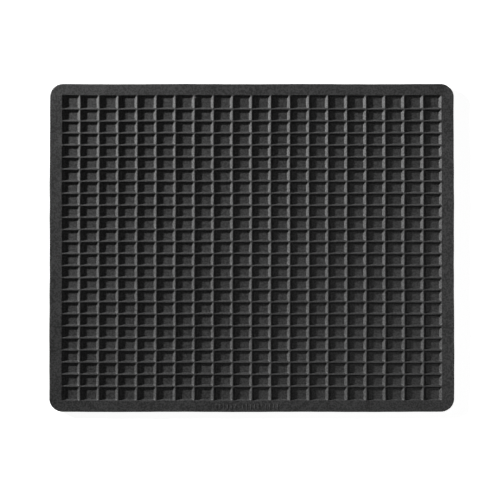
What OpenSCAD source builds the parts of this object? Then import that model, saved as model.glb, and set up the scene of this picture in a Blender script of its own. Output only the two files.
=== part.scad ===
// Moulded rubber door mat: a sheet with a flat border and a lattice of ribs around open pockets.
// Millimetres. X runs left to right, Y front to back, Z up; the mat lies on Z = 0.

/* [Outline] */
// Length of the mat, left to right
mat_l = 424; // [380:4:480]
// Width of the mat, front to back
mat_w = 344; // [320:4:400]
// Radius of the four outer corners
corner_r = 14; // [8:1:18]
// Width of the flat border along the front and the back
border_w = 12; // [8:1:16]
// Width of the flat border along the left and the right side
side_border_w = 13; // [8:1:16]
// Rounding of the border's outer top edge
edge_r = 1.25; // [0.5:0.25:1.75]

/* [Thickness] */
// Thickness of the sheet under the pockets
sheet_t = 2; // [1.5:0.25:4]
// Depth of the pockets, which is also the height of the ribs
pocket_d = 2.5; // [2:0.5:5]

/* [Pockets] */
// Number of pockets, left to right
pockets_x = 20; // [18:1:22]
// Number of pockets, front to back
pockets_y = 25; // [22:1:27]
// Extra width of the front and back rows of pockets
end_row_extra = 2; // [0:0.25:3]
// Extra width of the left and right columns of pockets, less than zero where they are narrower
end_col_extra = -1; // [-2:0.25:3]
// Width of the flat top of a rib
rib_top_w = 1; // [0.8:0.1:1.6]
// How far the left and right walls of a pocket lean inwards
wall_lean_x = 2.3; // [1.5:0.1:3]
// How far the front and back walls of a pocket lean inwards
wall_lean_y = 1.4; // [1:0.1:2.6]

/* [Grip studs] */
// Radius of a stud under the mat
stud_r = 3; // [2:0.5:5]
// Height of a stud
stud_h = 1; // [0.5:0.25:2]
// Number of studs, left to right
studs_x = 11; // [7:2:13]
// Number of studs, front to back
studs_y = 9; // [5:2:11]

/* [Border mark] */
// Number of raised strokes in the row on the front border
strokes = 17; // [5:2:25]
// Distance between strokes
stroke_pitch = 4; // [3:0.5:6]
// Place of the row's middle along the border
mark_x = -5; // [-30:5:30]
// Length of a stroke, front to back
stroke_l = 5; // [2:0.5:6]
// Width of a stroke
stroke_w = 0.8; // [0.6:0.1:1.2]
// Height of a stroke above the border
stroke_h = 0.3; // [0.2:0.1:0.5]

/* [Hidden] */
$fn = 64;
OVER = 0.02;                          // a cutting shape passes the face that it cuts by this much
RUBBER = "#3b3b3b";
floor_z = stud_h + sheet_t;           // floor of the pockets
top_z = floor_z + pocket_d;           // top of the ribs and of the border
lap_d = pocket_d / 2;                 // ribs cross in half-laps: a long rib is whole below this height
field_l = mat_l - 2 * side_border_w;  // opening of the border, left to right
field_w = mat_w - 2 * border_w;       // opening of the border, front to back
pitch_x = (field_l - 2 * end_col_extra) / pockets_x;
pitch_y = (field_w - 2 * end_row_extra) / pockets_y;
stud_margin = 12;                     // from the mat's edge to the middle of the outermost studs
long_ribs = pockets_y - 1;
cross_ribs = pockets_x - 1;
long_rib_names = [for (i = [1:long_ribs]) str("long_rib_", two_digits(i))];
cross_rib_names = [for (i = [1:cross_ribs]) str("cross_rib_", two_digits(i))];

function two_digits(i) = str(i < 10 ? "0" : "", i);

// Place of a row's i-th item, counted from 1, when n items are centred on zero
function centred(i, n, pitch) = (i - (n + 1) / 2) * pitch;

// Half the width of a rib at height z above the floor, where its sides lean by lean
function rib_half(z, lean) = rib_top_w / 2 + lean * (1 - z / pocket_d);

// Half the width of the border's opening at height z above the floor
function opening_half(z, field, lean) = field / 2 - lean * (1 - z / pocket_d);

// A symmetrical section with straight sides, given its half widths at two heights
module section(half_0, half_1, z_0, z_1) {
    polygon([[-half_0, z_0], [half_0, z_0], [half_1, z_1], [-half_1, z_1]]);
}

// Extrudes a section along X, or along Y, centred on zero
module along_x(length) {
    rotate([90, 0, 90]) linear_extrude(length, center = true) children();
}

module along_y(length) {
    rotate([90, 0, 0]) linear_extrude(length, center = true) children();
}

// A rib's full bar between two heights above the floor, longer than the opening
module long_bar(i, z_0, z_1) {
    translate([0, centred(i, long_ribs, pitch_y), 0])
        along_x(mat_l) section(rib_half(z_0, wall_lean_y), rib_half(z_1, wall_lean_y), z_0, z_1);
}

module cross_bar(i, z_0, z_1) {
    translate([centred(i, cross_ribs, pitch_x), 0, 0])
        along_y(mat_w) section(rib_half(z_0, wall_lean_x), rib_half(z_1, wall_lean_x), z_0, z_1);
}

// The border's opening, with four leaning walls, between two heights above the floor
module opening(z_0, z_1) {
    intersection() {
        along_y(mat_w) section(opening_half(z_0, field_l, wall_lean_x),
                               opening_half(z_1, field_l, wall_lean_x), z_0, z_1);
        along_x(mat_l) section(opening_half(z_0, field_w, wall_lean_y),
                               opening_half(z_1, field_w, wall_lean_y), z_0, z_1);
    }
}

// The mat's outline as a flat shape
module outline() {
    for (x = [-1, 1], y = [-1, 1])
        translate([x * (mat_l / 2 - corner_r), y * (mat_w / 2 - corner_r)]) circle(corner_r);
    square([mat_l - 2 * corner_r, mat_w], center = true);
    square([mat_l, mat_w - 2 * corner_r], center = true);
}

// Half of the border's section, out to its rounded top edge
module edge_section(half) {
    square([half - edge_r, pocket_d]);
    square([half, pocket_d - edge_r]);
    translate([half - edge_r, pocket_d - edge_r]) circle(edge_r);
}

module full_edge_section(half) {
    edge_section(half);
    mirror([1, 0]) edge_section(half);
}

// The block that the border is cut from: the mat's outline with a rounded top edge
module border_block() {
    along_y(mat_w - 2 * corner_r) full_edge_section(mat_l / 2);
    along_x(mat_l - 2 * corner_r) full_edge_section(mat_w / 2);
    for (x = [-1, 1], y = [-1, 1])
        translate([x * (mat_l / 2 - corner_r), y * (mat_w / 2 - corner_r), 0])
            rotate_extrude() edge_section(corner_r);
}

// Sheet under the whole mat, with round studs below it that grip the ground
module base_sheet() {
    stud_pitch_x = (mat_l - 2 * stud_margin) / (studs_x - 1);
    stud_pitch_y = (mat_w - 2 * stud_margin) / (studs_y - 1);
    color(RUBBER) union() {
        translate([0, 0, stud_h]) linear_extrude(sheet_t) outline();
        for (i = [1:studs_x], j = [1:studs_y])
            translate([centred(i, studs_x, stud_pitch_x), centred(j, studs_y, stud_pitch_y), 0])
                cylinder(h = stud_h + sheet_t / 2, r = stud_r);
    }
}

// Flat border around the pockets, with leaning inner walls
module border_frame() {
    color(RUBBER) translate([0, 0, floor_z]) difference() {
        border_block();
        opening(-OVER, pocket_d + OVER);
    }
}

// Rib number i from the front, running left to right; the cross ribs lie in its upper half
module long_rib(i) {
    color(RUBBER) translate([0, 0, floor_z]) difference() {
        intersection() {
            long_bar(i, 0, pocket_d);
            opening(0, pocket_d);
        }
        for (k = [1:cross_ribs]) cross_bar(k, lap_d, pocket_d + OVER);
    }
}

// Rib number i from the left, running front to back; the long ribs lie in its lower half
module cross_rib(i) {
    color(RUBBER) translate([0, 0, floor_z]) difference() {
        intersection() {
            cross_bar(i, 0, pocket_d);
            opening(0, pocket_d);
        }
        for (k = [1:long_ribs]) long_bar(k, -OVER, lap_d);
    }
}

// Row of plain raised strokes near the middle of the front border
module border_mark() {
    color(RUBBER) for (i = [1:strokes])
        translate([mark_x + centred(i, strokes, stroke_pitch), (border_w - mat_w) / 2, top_z])
            linear_extrude(stroke_h) square([stroke_w, stroke_l], center = true);
}

base_sheet();
border_frame();
for (i = [1:long_ribs]) long_rib(i);
for (i = [1:cross_ribs]) cross_rib(i);
border_mark();
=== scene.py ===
"""Rubber door mat: a flat border around a lattice of thin ribs and open pockets.

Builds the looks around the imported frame, in metres: +X right, +Y away from the border mark, +Z up.
"""
import math

import bpy
import numpy as np
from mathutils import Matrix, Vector


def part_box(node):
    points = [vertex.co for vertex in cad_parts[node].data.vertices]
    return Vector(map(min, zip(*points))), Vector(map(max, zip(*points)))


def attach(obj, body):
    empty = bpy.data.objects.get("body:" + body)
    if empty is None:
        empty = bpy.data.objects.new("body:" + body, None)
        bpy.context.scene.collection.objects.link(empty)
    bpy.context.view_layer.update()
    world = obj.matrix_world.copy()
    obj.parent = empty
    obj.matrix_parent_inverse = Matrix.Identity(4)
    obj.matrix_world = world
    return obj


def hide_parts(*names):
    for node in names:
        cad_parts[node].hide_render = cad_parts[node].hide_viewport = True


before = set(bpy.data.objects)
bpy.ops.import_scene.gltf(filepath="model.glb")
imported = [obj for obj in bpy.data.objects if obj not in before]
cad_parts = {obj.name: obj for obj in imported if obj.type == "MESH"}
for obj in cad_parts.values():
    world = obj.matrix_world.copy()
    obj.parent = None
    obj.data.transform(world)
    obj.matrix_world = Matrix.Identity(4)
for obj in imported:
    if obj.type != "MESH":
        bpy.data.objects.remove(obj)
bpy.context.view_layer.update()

# ---------------------------------------------------------------- sizes, from the frame

MM = 0.001
sheet_low, sheet_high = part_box("base_sheet")
mark_low, mark_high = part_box("border_mark")
long_names = sorted(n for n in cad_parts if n.startswith("long_rib_"))
cross_names = sorted(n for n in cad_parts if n.startswith("cross_rib_"))
long_boxes = [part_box(n) for n in long_names]
cross_boxes = [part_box(n) for n in cross_names]
long_y = [(low.y + high.y) / 2 for low, high in long_boxes]
cross_x = [(low.x + high.x) / 2 for low, high in cross_boxes]

FLOOR = sheet_high.z                         # floor of the pockets
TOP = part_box("border_frame")[1].z            # top of the border and of the ribs
DEPTH = TOP - FLOOR
HALF_L, HALF_W = sheet_high.x, sheet_high.y  # half the mat's length and width
OPEN_X = long_boxes[0][1].x                  # half the length of the border's opening
OPEN_Y = cross_boxes[0][1].y                 # half its width
RIB_TOP = 1.0 * MM                           # flat width of a rib's top
LEAN_X = (cross_boxes[0][1].x - cross_boxes[0][0].x - RIB_TOP) / 2
LEAN_Y = (long_boxes[0][1].y - long_boxes[0][0].y - RIB_TOP) / 2

# ---------------------------------------------------------------- sizes that the frame leaves open

CORNER_R = 14.0 * MM                         # rounding of the mat's outline, in plan
EDGE_R = 1.25 * MM                           # rounding of the outer top edge
FOOT_R = 0.5 * MM                            # rounding of the outer bottom edge
STUDS_X, STUDS_Y = 11, 9                     # grip studs under the mat
STUD_MARGIN = 12.0 * MM                      # from the mat's edge to the outermost studs
STUD_R = 3.0 * MM
STUD_H = 1.0 * MM
STUD_ROUND = 0.35 * MM                       # rounding of a stud's end
RIM_W = 7.0 * MM                             # flat rim around the underside
RIM_H = 0.25 * MM                            # how far that rim stands below the sheet
RIM_LAP = 2.0 * MM                           # how far the sheet runs on above that rim
STROKES = 17                                 # raised strokes of the border mark
STROKE_W = 0.8 * MM
SUNK = 0.4 * MM                              # how far hidden undersides lie inside the sheet

# Roundings of the ribs, as shares of a wall's lean
COVE_X, COVE_Y = 0.15, 0.20                  # between wall and floor
RIM_X, RIM_Y = 0.10, 0.15                    # between wall and rib top

# Vertex lines. Those of a wall are shares of the way from its top to the end of its cove
WALL_STEPS = [0.0, 0.08, 0.18, 0.3, 0.42, 0.54, 0.66, 0.78, 0.9, 1.0]
STRIP_W = 4.0 * MM                           # strip of border that keeps the pockets' vertex lines
STRIP_STEPS = 9
BORDER_STEPS = [5.0 * MM, 3.1 * MM, 1.6 * MM]  # rings on the flat top, by distance from the outline
EDGE_STEPS = 7                               # on each of the outer edge's two roundings
SHEET_LINES_X, SHEET_LINES_Y = 49, 41
STUD_AROUND, STUD_STEPS = 32, 4              # around a stud, and on the rounding of its end
STROKE_AROUND, STROKE_STEPS = 24, 5          # the same for a stroke

# Unevenness. A sine is its weight, radians per metre along X and along Y, and its phase
WAVE_H = 0.12 * MM
WAVES = [(1, 31, 9, 0.5), (1, 13, -37, 1.7)]
RIPPLE_H = 0.05 * MM
RIPPLES = [(1, 170, -110, 2.1), (1, 95, 230, 0.9)]
DRIFT_X = [(0.10 * MM, 23, 41, 1.0), (0.06 * MM, 61, 163, 0.4)]
DRIFT_Y = [(0.12 * MM, 47, -19, 2.0), (0.04 * MM, 211, 57, 0.0)]
CURL = 2.0                                   # how strongly the two short sides curl up, per metre
CURL_X = OPEN_X - 4 * MM                     # where the curl starts
CURL_RIPPLE = 12 * MM                        # this far into the curl, the ripples are twice as high
NORMAL_STEP = 0.01 * MM                      # step of the differences that give a surface's slopes

# ---------------------------------------------------------------- the moulded upper surface


def soft_max(a, b, k):
    """The larger of a and b, with a parabolic fillet where they differ by less than k."""
    blend = np.maximum(k - np.abs(a - b), 0)
    return np.maximum(a, b) + blend * blend / (4 * k)


def rib_height(v, ribs, opening, lean, cove, rim):
    """Height of the walls and ribs along one axis: 0 on the floor, 1 on top."""
    inside = np.abs(v[:, None] - np.asarray(ribs)[None, :]).min(axis=1) - RIB_TOP / 2
    inside = np.minimum(inside, opening - np.abs(v))
    level = soft_max(1 - inside / lean, 0.0, cove)
    return -soft_max(-level, -1.0, rim)


def height(x, y):
    """Height of the upper surface, before the mat's sag. The two sets of ribs melt together."""
    along_x = rib_height(x, cross_x, OPEN_X, LEAN_X, COVE_X, RIM_X)
    along_y = rib_height(y, long_y, OPEN_Y, LEAN_Y, COVE_Y, RIM_Y)
    return FLOOR + DEPTH * (1 - (1 - along_x) * (1 - along_y))


def sines(terms, x, y):
    """Sum of sines across the mat."""
    return sum(weight * np.sin(per_x * x + per_y * y + phase) for weight, per_x, per_y, phase in terms)


def sag(x, y):
    """Rise and fall where the mat doesn't lie quite flat: slow waves, ripples and curled short sides."""
    curl = np.maximum(np.abs(x) - CURL_X, 0)
    ripples = RIPPLE_H * sines(RIPPLES, x, y) * (1 + curl / CURL_RIPPLE)
    return WAVE_H * sines(WAVES, x, y) + ripples + CURL * curl * curl


def slopes(surface, x, y):
    """Slope of a surface along X and along Y."""
    e = NORMAL_STEP
    return ((surface(x + e, y) - surface(x - e, y)) / (2 * e),
            (surface(x, y + e) - surface(x, y - e)) / (2 * e))


def upper_normals(x, y):
    slope_x, slope_y = slopes(height, x, y)
    return np.stack([-slope_x, -slope_y, np.ones_like(x)], axis=1)


# ---------------------------------------------------------------- closed shells
# A shell is points, the normal wanted at each point, faces, and whether each face takes those normals.
# Faces that don't are flat: ends, the sheet's sides and hidden faces.


def join(shells):
    """Several shells as one."""
    points, normals, faces, smooth, start = [], [], [], [], 0
    for p, n, f, s in shells:
        points.append(p)
        normals.append(n)
        faces += [[v + start for v in face] for face in f]
        smooth += s
        start += len(p)
    return np.concatenate(points), np.concatenate(normals), faces, smooth


def vertex_grid(lines_x, lines_y):
    """Where vertex lines cross: the points' X and Y, and their indices as a grid."""
    gx, gy = np.meshgrid(lines_x, lines_y)
    return gx.ravel(), gy.ravel(), np.arange(gx.size).reshape(gx.shape)


def grid_edge(grid):
    """The indices around the edge of a grid of points, anticlockwise from above."""
    return np.concatenate([grid[0, :-1], grid[:-1, -1], grid[-1, :0:-1], grid[:0:-1, 0]])


def grid_faces(grid):
    return np.stack([grid[:-1, :-1], grid[:-1, 1:], grid[1:, 1:], grid[1:, :-1]], axis=-1)


def band(lower, upper):
    """Quads between two rings of points, each given as indices, anticlockwise from above."""
    corners = np.stack([lower, np.roll(lower, -1), np.roll(upper, -1), upper], axis=1)
    return corners.tolist()


def upper_block(lines_x, lines_y):
    """The upper surface between vertex lines, closed below by a flat face inside the sheet."""
    x, y, grid = vertex_grid(lines_x, lines_y)
    edge = grid_edge(grid)
    faces = grid_faces(grid).reshape(-1, 4).tolist()
    smooth = [True] * len(faces)
    below = np.arange(x.size, x.size + edge.size)
    faces += band(below, edge) + [below[::-1].tolist()]
    smooth += [False] * (edge.size + 1)
    points = np.stack([x, y, height(x, y)], axis=1)
    under = np.stack([x[edge], y[edge], np.full(edge.size, FLOOR - SUNK)], axis=1)
    normals = np.concatenate([upper_normals(x, y), np.tile([0.0, 0.0, -1.0], (edge.size, 1))])
    return np.concatenate([points, under]), normals, faces, smooth


def quarter_turn(steps):
    """Sines and cosines, in steps from 0 to a right angle."""
    return [(math.sin(t), math.cos(t)) for t in np.linspace(0, math.pi / 2, steps)]


def directions(n, start=0.0):
    """Unit vectors evenly around a circle, anticlockwise."""
    angles = np.linspace(0, 2 * math.pi, n, endpoint=False) + start
    return np.stack([np.cos(angles), np.sin(angles)], axis=1)


def turned(out, centre_x, centre_y, profile):
    """A closed shell of rings around an upright line, from the lowest to the highest, with flat end faces.

    out holds the directions around it. Each ring is its radius, height, and outward and upward lean.
    """
    n = len(out)
    points = [np.column_stack([centre_x + r * out[:, 0], centre_y + r * out[:, 1], np.full(n, z)])
              for r, z, _, _ in profile]
    normals = [np.column_stack([out * out_lean, np.full(n, up_lean)]) for _, _, out_lean, up_lean in profile]
    index = np.arange(n * len(profile)).reshape(-1, n)
    faces, smooth = [index[0][::-1].tolist()], [False]
    for lower, upper in zip(index, index[1:]):
        faces += band(lower, upper)
        smooth += [True] * n
    faces.append(index[-1].tolist())
    smooth.append(False)
    return np.concatenate(points), np.concatenate(normals), faces, smooth


def tidy(shell):
    """The shell without points that no face uses."""
    points, normals, faces, smooth = shell
    used = np.unique(np.concatenate([np.array(f) for f in faces]))
    place = np.zeros(len(points), int)
    place[used] = np.arange(used.size)
    return points[used], normals[used], [place[f].tolist() for f in faces], smooth


# ---------------------------------------------------------------- vertex lines


def wall_lines(edge, side, lean, cove):
    """Vertex lines of one wall, in order from its top, where side is the way down into the pocket."""
    return [edge + side * step * lean * (1 + cove) for step in WALL_STEPS]


def rib_zone(centre, lean, cove):
    half = RIB_TOP / 2
    left = wall_lines(centre - half, -1, lean, cove)
    right = wall_lines(centre + half, 1, lean, cove)
    return left[::-1] + [centre - half / 2, centre, centre + half / 2] + right


def border_zone(opening, lean, cove, rim):
    """Vertex lines of the border's wall and of its strip, on the positive side."""
    lines = wall_lines(opening, -1, lean, cove)[::-1] + [opening + rim * lean / 2]
    strip = np.linspace(opening + rim * lean, opening + STRIP_W, STRIP_STEPS)
    return lines + strip.tolist()


def zones_of(ribs, opening, lean, cove, rim):
    """Vertex lines along one axis, as zones: the first border, each rib, and the last border."""
    last = border_zone(opening, lean, cove, rim)
    return [[-v for v in last[::-1]]] + [rib_zone(c, lean, cove) for c in ribs] + [last]


def floor_lines(zones, i):
    """The ends and the middle of the floor between zone i and the next."""
    low, high = zones[i][-1], zones[i + 1][0]
    return [low, (low + high) / 2, high]


def lines_between(zones):
    """Every vertex line from the end of the first zone to the start of the last."""
    lines = floor_lines(zones, 0)
    for i in range(1, len(zones) - 1):
        lines += zones[i][1:-1] + floor_lines(zones, i)
    return lines


zones_x = zones_of(cross_x, OPEN_X, LEAN_X, COVE_X, RIM_X)
zones_y = zones_of(long_y, OPEN_Y, LEAN_Y, COVE_Y, RIM_Y)
inner_x, inner_y = lines_between(zones_x), lines_between(zones_y)

# ---------------------------------------------------------------- materials

# A noise is its scale, in features per metre, its detail and its roughness
GRAIN = (2600, 3, 0.6)
MOTTLE = (600, 1, 0.5)
BLOOM = (26, 5, 0.65)
LUMPS = (950, 2, 0.5)
NOISE_RANGE = (0.3, 0.7)                     # most of a noise's values lie in this range
MOTTLE_RANGE = (0.42, 0.58)                  # narrower, so the mottle has more contrast
BLOOM_SHARE, MOTTLE_SHARE = 0.25, 0.75       # of the colour's variation
GRAIN_D = 0.12 * MM                          # depth of the fine grain
LUMP_D = 0.26 * MM                           # depth of the coarser unevenness of the rubber's skin

DARK_RUBBER = (0.007, 0.007, 0.007, 1)
PALE_RUBBER = (0.047, 0.047, 0.0474, 1)
# Painted highlight: the tops of the ribs and of the mark's strokes are coloured lighter, towards this colour,
# standing in for the light that catches their crests
PAINTED_HIGHLIGHT_COLOUR = (0.062, 0.062, 0.0625, 1)
PAINTED_HIGHLIGHT = 0.5                                   # how far the painted highlight takes the tops over to that colour
PAINTED_HIGHLIGHT_HEIGHTS = (TOP - 0.45 * MM, TOP + 0.05 * MM)  # where the painted highlight starts and where it is full
PAINTED_HIGHLIGHT_MOTTLE = (0.6, 1.0)                    # the mottle's effect on the painted highlight
BLOOM_ROUGH = (0.52, 0.58)                   # roughness, from the bloom
GRAIN_ROUGH = (-0.03, 0.05)                  # added to it by the grain
STEEP = 0.06                                 # added on a wall, and taken off on a flat
STEEP_RANGE = (0.65, 1.0)                    # the surface's upward lean on a wall and on a flat
RUBBER_IOR = 1.5
SHEEN, SHEEN_ROUGH = 0.08, 0.5
PAPER = (0.85, 0.85, 0.85, 1)
PAPER_ROUGH = 0.9


def new_material(name):
    material = bpy.data.materials.new(name)
    material.use_nodes = True
    return material, material.node_tree.nodes, material.node_tree.links


def rubber_material(name, painted_highlight):
    """Black pressed rubber: satin and finely grained, with a faint grey bloom in patches, and, where asked, a
    painted highlight that lightens the tops.
    """
    material, nodes, links = new_material(name)
    shader = nodes["Principled BSDF"]
    place = nodes.new("ShaderNodeTexCoord")

    def noise(scale, detail, rough):
        n = nodes.new("ShaderNodeTexNoise")
        n.inputs["Scale"].default_value = scale
        n.inputs["Detail"].default_value = detail
        n.inputs["Roughness"].default_value = rough
        links.new(place.outputs["Object"], n.inputs["Vector"])
        return n.outputs["Fac"]

    def spread(value, to_low, to_high, from_range=NOISE_RANGE):
        """Values, as of a noise, spread over another range."""
        m = nodes.new("ShaderNodeMapRange")
        m.inputs["From Min"].default_value = from_range[0]
        m.inputs["From Max"].default_value = from_range[1]
        m.inputs["To Min"].default_value = to_low
        m.inputs["To Max"].default_value = to_high
        links.new(value, m.inputs["Value"])
        return m.outputs["Result"]

    def along_z(output):
        m = nodes.new("ShaderNodeSeparateXYZ")
        links.new(place.outputs[output], m.inputs["Vector"])
        return m.outputs["Z"]

    def combine(a, b, operation="ADD"):
        m = nodes.new("ShaderNodeMath")
        m.operation = operation
        links.new(a, m.inputs[0])
        links.new(b, m.inputs[1])
        return m.outputs["Value"]

    grain = noise(*GRAIN)
    mottle = noise(*MOTTLE)
    bloom = noise(*BLOOM)
    ramp = nodes.new("ShaderNodeValToRGB")
    ramp.color_ramp.elements[0].color = DARK_RUBBER
    ramp.color_ramp.elements[1].color = PALE_RUBBER
    patches = combine(spread(bloom, 0.0, BLOOM_SHARE), spread(mottle, 0.0, MOTTLE_SHARE, MOTTLE_RANGE))
    links.new(patches, ramp.inputs["Fac"])

    # Painted highlight: a lighter colour on the tops, by height, in patches of the mottle
    highlight_by_height = spread(along_z("Object"), 0.0, painted_highlight, PAINTED_HIGHLIGHT_HEIGHTS)
    highlighted = nodes.new("ShaderNodeMix")
    highlighted.data_type = "RGBA"
    highlighted.inputs["B"].default_value = PAINTED_HIGHLIGHT_COLOUR
    links.new(combine(highlight_by_height, spread(mottle, *PAINTED_HIGHLIGHT_MOTTLE), "MULTIPLY"), highlighted.inputs["Factor"])
    links.new(ramp.outputs["Color"], highlighted.inputs["A"])
    links.new(highlighted.outputs["Result"], shader.inputs["Base Color"])

    steep = spread(along_z("Normal"), STEEP, -STEEP, STEEP_RANGE)
    uneven = combine(spread(bloom, *BLOOM_ROUGH), spread(grain, *GRAIN_ROUGH))
    links.new(combine(uneven, steep), shader.inputs["Roughness"])
    shader.inputs["IOR"].default_value = RUBBER_IOR
    shader.inputs["Sheen Weight"].default_value = SHEEN
    shader.inputs["Sheen Roughness"].default_value = SHEEN_ROUGH

    skin = None
    for value, depth in ((noise(*LUMPS), LUMP_D), (combine(grain, mottle), GRAIN_D)):
        bump = nodes.new("ShaderNodeBump")
        bump.inputs["Strength"].default_value = 1.0
        bump.inputs["Distance"].default_value = depth
        links.new(value, bump.inputs["Height"])
        if skin:
            links.new(skin, bump.inputs["Normal"])
        skin = bump.outputs["Normal"]
    links.new(skin, shader.inputs["Normal"])
    return material


def paper_material(name, own_light):
    """Plain white paper, with a little light of its own so that shadows on it stay pale."""
    material, nodes, links = new_material(name)
    shader = nodes["Principled BSDF"]
    shader.inputs["Base Color"].default_value = PAPER
    shader.inputs["Roughness"].default_value = PAPER_ROUGH
    shader.inputs["Emission Color"].default_value = (1, 1, 1, 1)
    shader.inputs["Emission Strength"].default_value = own_light
    return material


RUBBER = rubber_material("black_rubber", 0.0)
# For the ribs and the mark: the same rubber with a painted highlight on the tops
HIGHLIGHT_PAINTED_RUBBER = rubber_material("black_rubber_ribs", PAINTED_HIGHLIGHT)

# ---------------------------------------------------------------- pieces


def add_object(name, data):
    """A new object in the scene."""
    made = bpy.data.objects.new(name, data)
    bpy.context.scene.collection.objects.link(made)
    return made


def add_piece(name, shell, material=RUBBER):
    """A rubber piece that rides on the mat's one body and stands for the CAD node of that name."""
    points, normals, faces, smooth = shell
    x, y = points[:, 0], points[:, 1]
    placed = points + np.stack([sines(DRIFT_X, x, y), sines(DRIFT_Y, x, y), sag(x, y)], axis=1)
    sag_x, sag_y = slopes(sag, x, y)
    normals = normals - normals[:, 2:] * np.stack([sag_x, sag_y, np.zeros_like(x)], axis=1)
    normals /= np.linalg.norm(normals, axis=1, keepdims=True)

    mesh = bpy.data.meshes.new("moulded_" + name)
    mesh.from_pydata(placed.tolist(), [], faces)
    mesh.shade_smooth()
    corners = np.zeros(len(mesh.loops), np.int32)
    mesh.loops.foreach_get("vertex_index", corners)
    sides = np.zeros(len(mesh.polygons), np.int32)
    mesh.polygons.foreach_get("loop_total", sides)
    flat = np.zeros(len(mesh.polygons) * 3, np.float32)
    mesh.polygons.foreach_get("normal", flat)
    wanted = np.where(np.repeat(smooth, sides)[:, None], normals[corners],
                      np.repeat(flat.reshape(-1, 3), sides, axis=0))
    mesh.normals_split_custom_set(wanted.tolist())
    mesh.materials.append(material)

    piece = add_object(mesh.name, mesh)
    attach(piece, "root")
    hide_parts(name)


def make_long_ribs():
    """Each runs from the left border to the right one, through every crossing."""
    for name, zone in zip(long_names, zones_y[1:-1]):
        add_piece(name, upper_block(inner_x, zone), HIGHLIGHT_PAINTED_RUBBER)


def make_cross_ribs():
    """Each is in lengths that end at the sides of the long ribs."""
    for name, zone in zip(cross_names, zones_x[1:-1]):
        lengths = [upper_block(zone, floor_lines(zones_y, j)) for j in range(len(zones_y) - 1)]
        add_piece(name, join(lengths), HIGHLIGHT_PAINTED_RUBBER)


def outline_place(x, y, inset):
    """Where a point of the strip's edge lands on the mat's outline, drawn in by inset, and the way out."""
    centre_x, centre_y = HALF_L - CORNER_R, HALF_W - CORNER_R
    if abs(x) > centre_x and abs(y) > centre_y:
        angle = math.atan2(abs(y) - centre_y, abs(x) - centre_x)
        out = (math.cos(angle), math.sin(angle))
        place = (centre_x + out[0] * (CORNER_R - inset), centre_y + out[1] * (CORNER_R - inset))
    elif abs(x) > centre_x:
        out, place = (1.0, 0.0), (HALF_L - inset, abs(y))
    else:
        out, place = (0.0, 1.0), (abs(x), HALF_W - inset)
    signs = np.sign([x, y])
    return signs * place, signs * out


def edge_profile():
    """The mat's edge, from the flat top to the rim underneath: inset, height, and outward and upward lean."""
    base = sheet_low.z + STUD_H
    quarter = quarter_turn(EDGE_STEPS)
    profile = [(inset, TOP, 0.0, 1.0) for inset in BORDER_STEPS]
    profile += [(EDGE_R * (1 - sin), TOP - EDGE_R * (1 - cos), sin, cos) for sin, cos in quarter]
    profile += [(FOOT_R * (1 - cos), base + FOOT_R * (1 - sin), cos, -sin) for sin, cos in quarter]
    profile.append((RIM_W, base, 0.0, -1.0))
    return profile


def make_border():
    """A closed ring: leaning inner wall, flat top, rounded outer edge, and a rim underneath."""
    lines_x = np.array(zones_x[0] + inner_x[1:-1] + zones_x[-1])
    lines_y = np.array(zones_y[0] + inner_y[1:-1] + zones_y[-1])
    x, y, grid = vertex_grid(lines_x, lines_y)
    first_x, first_y = len(zones_x[0]) - 1, len(zones_y[0]) - 1
    hole = np.zeros((len(lines_y) - 1, len(lines_x) - 1), bool)
    hole[first_y:-first_y, first_x:-first_x] = True
    faces = grid_faces(grid)[~hole].tolist()
    smooth = [True] * len(faces)
    points = [np.stack([x, y, height(x, y)], axis=1)]
    normals = [upper_normals(x, y)]

    edge = grid_edge(grid)
    ring, start = edge, x.size
    for inset, z, out_lean, up_lean in edge_profile():
        placed = [outline_place(x[v], y[v], inset) for v in edge]
        points.append(np.array([[*p, z] for p, _ in placed]))
        normals.append(np.array([[*(o * out_lean), up_lean] for _, o in placed]))
        lower = np.arange(start, start + edge.size)
        faces += band(lower, ring)
        smooth += [True] * edge.size
        ring, start = lower, start + edge.size
    rim_inside = points[-1] + [0, 0, FLOOR - SUNK - points[-1][0, 2]]
    points.append(rim_inside)
    normals.append(np.tile([0.0, 0.0, 1.0], (edge.size, 1)))
    lower = np.arange(start, start + edge.size)
    faces += band(lower, ring)

    rows, columns = np.unravel_index(edge, grid.shape)
    rows = np.clip(rows, first_y, len(lines_y) - 1 - first_y)
    columns = np.clip(columns, first_x, len(lines_x) - 1 - first_x)
    faces += [list(dict.fromkeys(face)) for face in band(grid[rows, columns], lower)]
    smooth += [False] * (len(faces) - len(smooth))
    add_piece("border_frame", tidy((np.concatenate(points), np.concatenate(normals), faces, smooth)))


def make_base_sheet():
    """The sheet under the pockets, which ends inside the border's ring, with the grip studs below it."""
    end_x, end_y = HALF_L - RIM_W + RIM_LAP, HALF_W - RIM_W + RIM_LAP
    lines_x = np.linspace(-end_x, end_x, SHEET_LINES_X)
    lines_y = np.linspace(-end_y, end_y, SHEET_LINES_Y)
    x, y, grid = vertex_grid(lines_x, lines_y)
    low = sheet_low.z + STUD_H + RIM_H
    up = np.tile([0.0, 0.0, 1.0], (x.size, 1))
    points = np.concatenate([np.stack([x, y, np.full(x.size, z)], axis=1) for z in (FLOOR, low)])
    top = grid_faces(grid).reshape(-1, 4)
    bottom = top[:, ::-1] + x.size
    edge = grid_edge(grid)
    sides = band(edge + x.size, edge)
    faces = top.tolist() + bottom.tolist() + sides
    smooth = [True] * (len(top) + len(bottom)) + [False] * len(sides)
    sheet = (points, np.concatenate([up, -up]), faces, smooth)

    stud_x = np.linspace(STUD_MARGIN - HALF_L, HALF_L - STUD_MARGIN, STUDS_X)
    stud_y = np.linspace(STUD_MARGIN - HALF_W, HALF_W - STUD_MARGIN, STUDS_Y)
    add_piece("base_sheet", join([sheet] + [stud(u, v) for u in stud_x for v in stud_y]))


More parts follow.
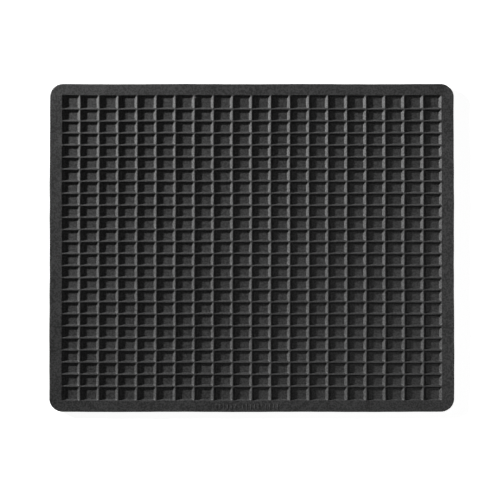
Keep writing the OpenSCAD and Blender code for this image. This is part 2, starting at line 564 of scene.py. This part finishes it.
def stud(centre_x, centre_y):
    """One round grip stud with a rounded end, let into the sheet above it."""
    profile = [(STUD_R - STUD_ROUND * (1 - sin), STUD_ROUND * (1 - cos), sin, -cos)
               for sin, cos in quarter_turn(STUD_STEPS)]
    profile.append((STUD_R, STUD_H + RIM_H + SUNK, 1.0, 0.0))
    return turned(directions(STUD_AROUND), centre_x, centre_y, profile)


def make_border_mark():
    """A row of plain raised strokes with rounded ends and edges."""
    length = mark_high.y - mark_low.y
    middle = (mark_high.y + mark_low.y) / 2
    half = (length - STROKE_W) / 2
    rise = mark_high.z - TOP
    r = STROKE_W / 2
    out = directions(STROKE_AROUND, math.pi / STROKE_AROUND)
    centre_y = middle + np.where(out[:, 1] > 0, half, -half)
    profile = [(r, TOP - SUNK, 1.0, 0.0)]
    profile += [(r - rise * (1 - cos), TOP + rise * sin, cos, sin) for sin, cos in quarter_turn(STROKE_STEPS)]
    centres_x = np.linspace(mark_low.x + r, mark_high.x - r, STROKES)
    strokes = [turned(out, centre_x, centre_y, profile) for centre_x in centres_x]
    # The strokes take the painted highlight on their tops, which makes them stand out lighter
    add_piece("border_mark", join(strokes), HIGHLIGHT_PAINTED_RUBBER)


# ---------------------------------------------------------------- studio

SENSOR_W = 36.0                              # in millimetres, as Blender has it
VIEW_DISTANCE = 1.0                          # camera above the floor
FRAME_WIDTH = 0.5266                         # what the picture's width takes in on the floor
CAMERA_X, CAMERA_Y = -1.8 * MM, -2.4 * MM    # the middle of the view
CAMERA_TILT = math.radians(0.54)             # the mat's front edge is a little nearer
KEY_AT = Vector((-2.72, 1.28, 0.90))         # low, far out on the left and a little to the back
KEY_AIM = Vector((2.0, 4.8, 0.0))            # past the mat, so that its front left corner gets less
KEY_SIZE = 0.20
KEY_POWER = 442.0
FILL_AT = Vector((0.5, -0.15, 1.1))          # weak, high up on the right
FILL_SIZE = 0.5
FILL_POWER = 1.9
SURROUND = 0.03                              # even light from everywhere
STAGE_HALF = 6.0                             # half the floor's width
STAGE_HEIGHT = 6.0
FLOOR_GAP = 0.4 * MM                         # the floor lies below the lowest studs, which follow the sag
FLOOR_LIGHT, BACKDROP_LIGHT = 0.85, 1.0      # the papers' own light


def make_camera():
    data = bpy.data.cameras.new("camera")
    data.sensor_width = SENSOR_W
    data.lens = SENSOR_W * VIEW_DISTANCE / FRAME_WIDTH
    camera = add_object("camera", data)
    camera.location = (CAMERA_X, CAMERA_Y - VIEW_DISTANCE * math.sin(CAMERA_TILT), VIEW_DISTANCE)
    camera.rotation_euler.x = CAMERA_TILT
    bpy.context.scene.camera = camera


def add_light(name, place, size, power, aim=Vector((0.0, 0.0, 0.0))):
    """A round softbox that faces the aim."""
    data = bpy.data.lights.new(name, "AREA")
    data.shape = "DISK"
    data.size = size
    data.energy = power
    light = add_object(name, data)
    light.location = place
    light.rotation_euler = (place - aim).to_track_quat("Z", "Y").to_euler()
    light.visible_camera = False


def make_lights():
    add_light("key", KEY_AT, KEY_SIZE, KEY_POWER, KEY_AIM)
    add_light("fill", FILL_AT, FILL_SIZE, FILL_POWER)
    world = bpy.data.worlds.new("studio")
    world.use_nodes = True
    world.node_tree.nodes["Background"].inputs["Color"].default_value = (1, 1, 1, 1)
    world.node_tree.nodes["Background"].inputs["Strength"].default_value = SURROUND
    bpy.context.scene.world = world


def add_paper(name, points, faces, own_light):
    """A sheet of the studio's paper, which isn't part of the mat."""
    mesh = bpy.data.meshes.new(name)
    mesh.from_pydata(points, [], faces)
    mesh.materials.append(paper_material(name, own_light))
    paper = add_object(name, mesh)
    return paper


def make_stage():
    """A floor, and walls far behind the lights that only the camera sees."""
    half, low = STAGE_HALF, sheet_low.z - FLOOR_GAP
    corners = [(-half, -half), (half, -half), (half, half), (-half, half)]
    add_paper("floor", [(*c, low) for c in corners], [(0, 1, 2, 3)], FLOOR_LIGHT)
    around = [(*c, z) for z in (low, STAGE_HEIGHT) for c in corners]
    sides = [(i, i + 4, (i + 1) % 4 + 4, (i + 1) % 4) for i in range(4)]
    walls = add_paper("backdrop", around, sides, BACKDROP_LIGHT)
    walls.visible_diffuse = False
    walls.visible_glossy = False
    walls.visible_shadow = False


make_camera()
make_lights()
make_stage()
make_border()
make_long_ribs()
make_cross_ribs()
make_base_sheet()
make_border_mark()
bpy.context.scene.view_settings.view_transform = "Standard"
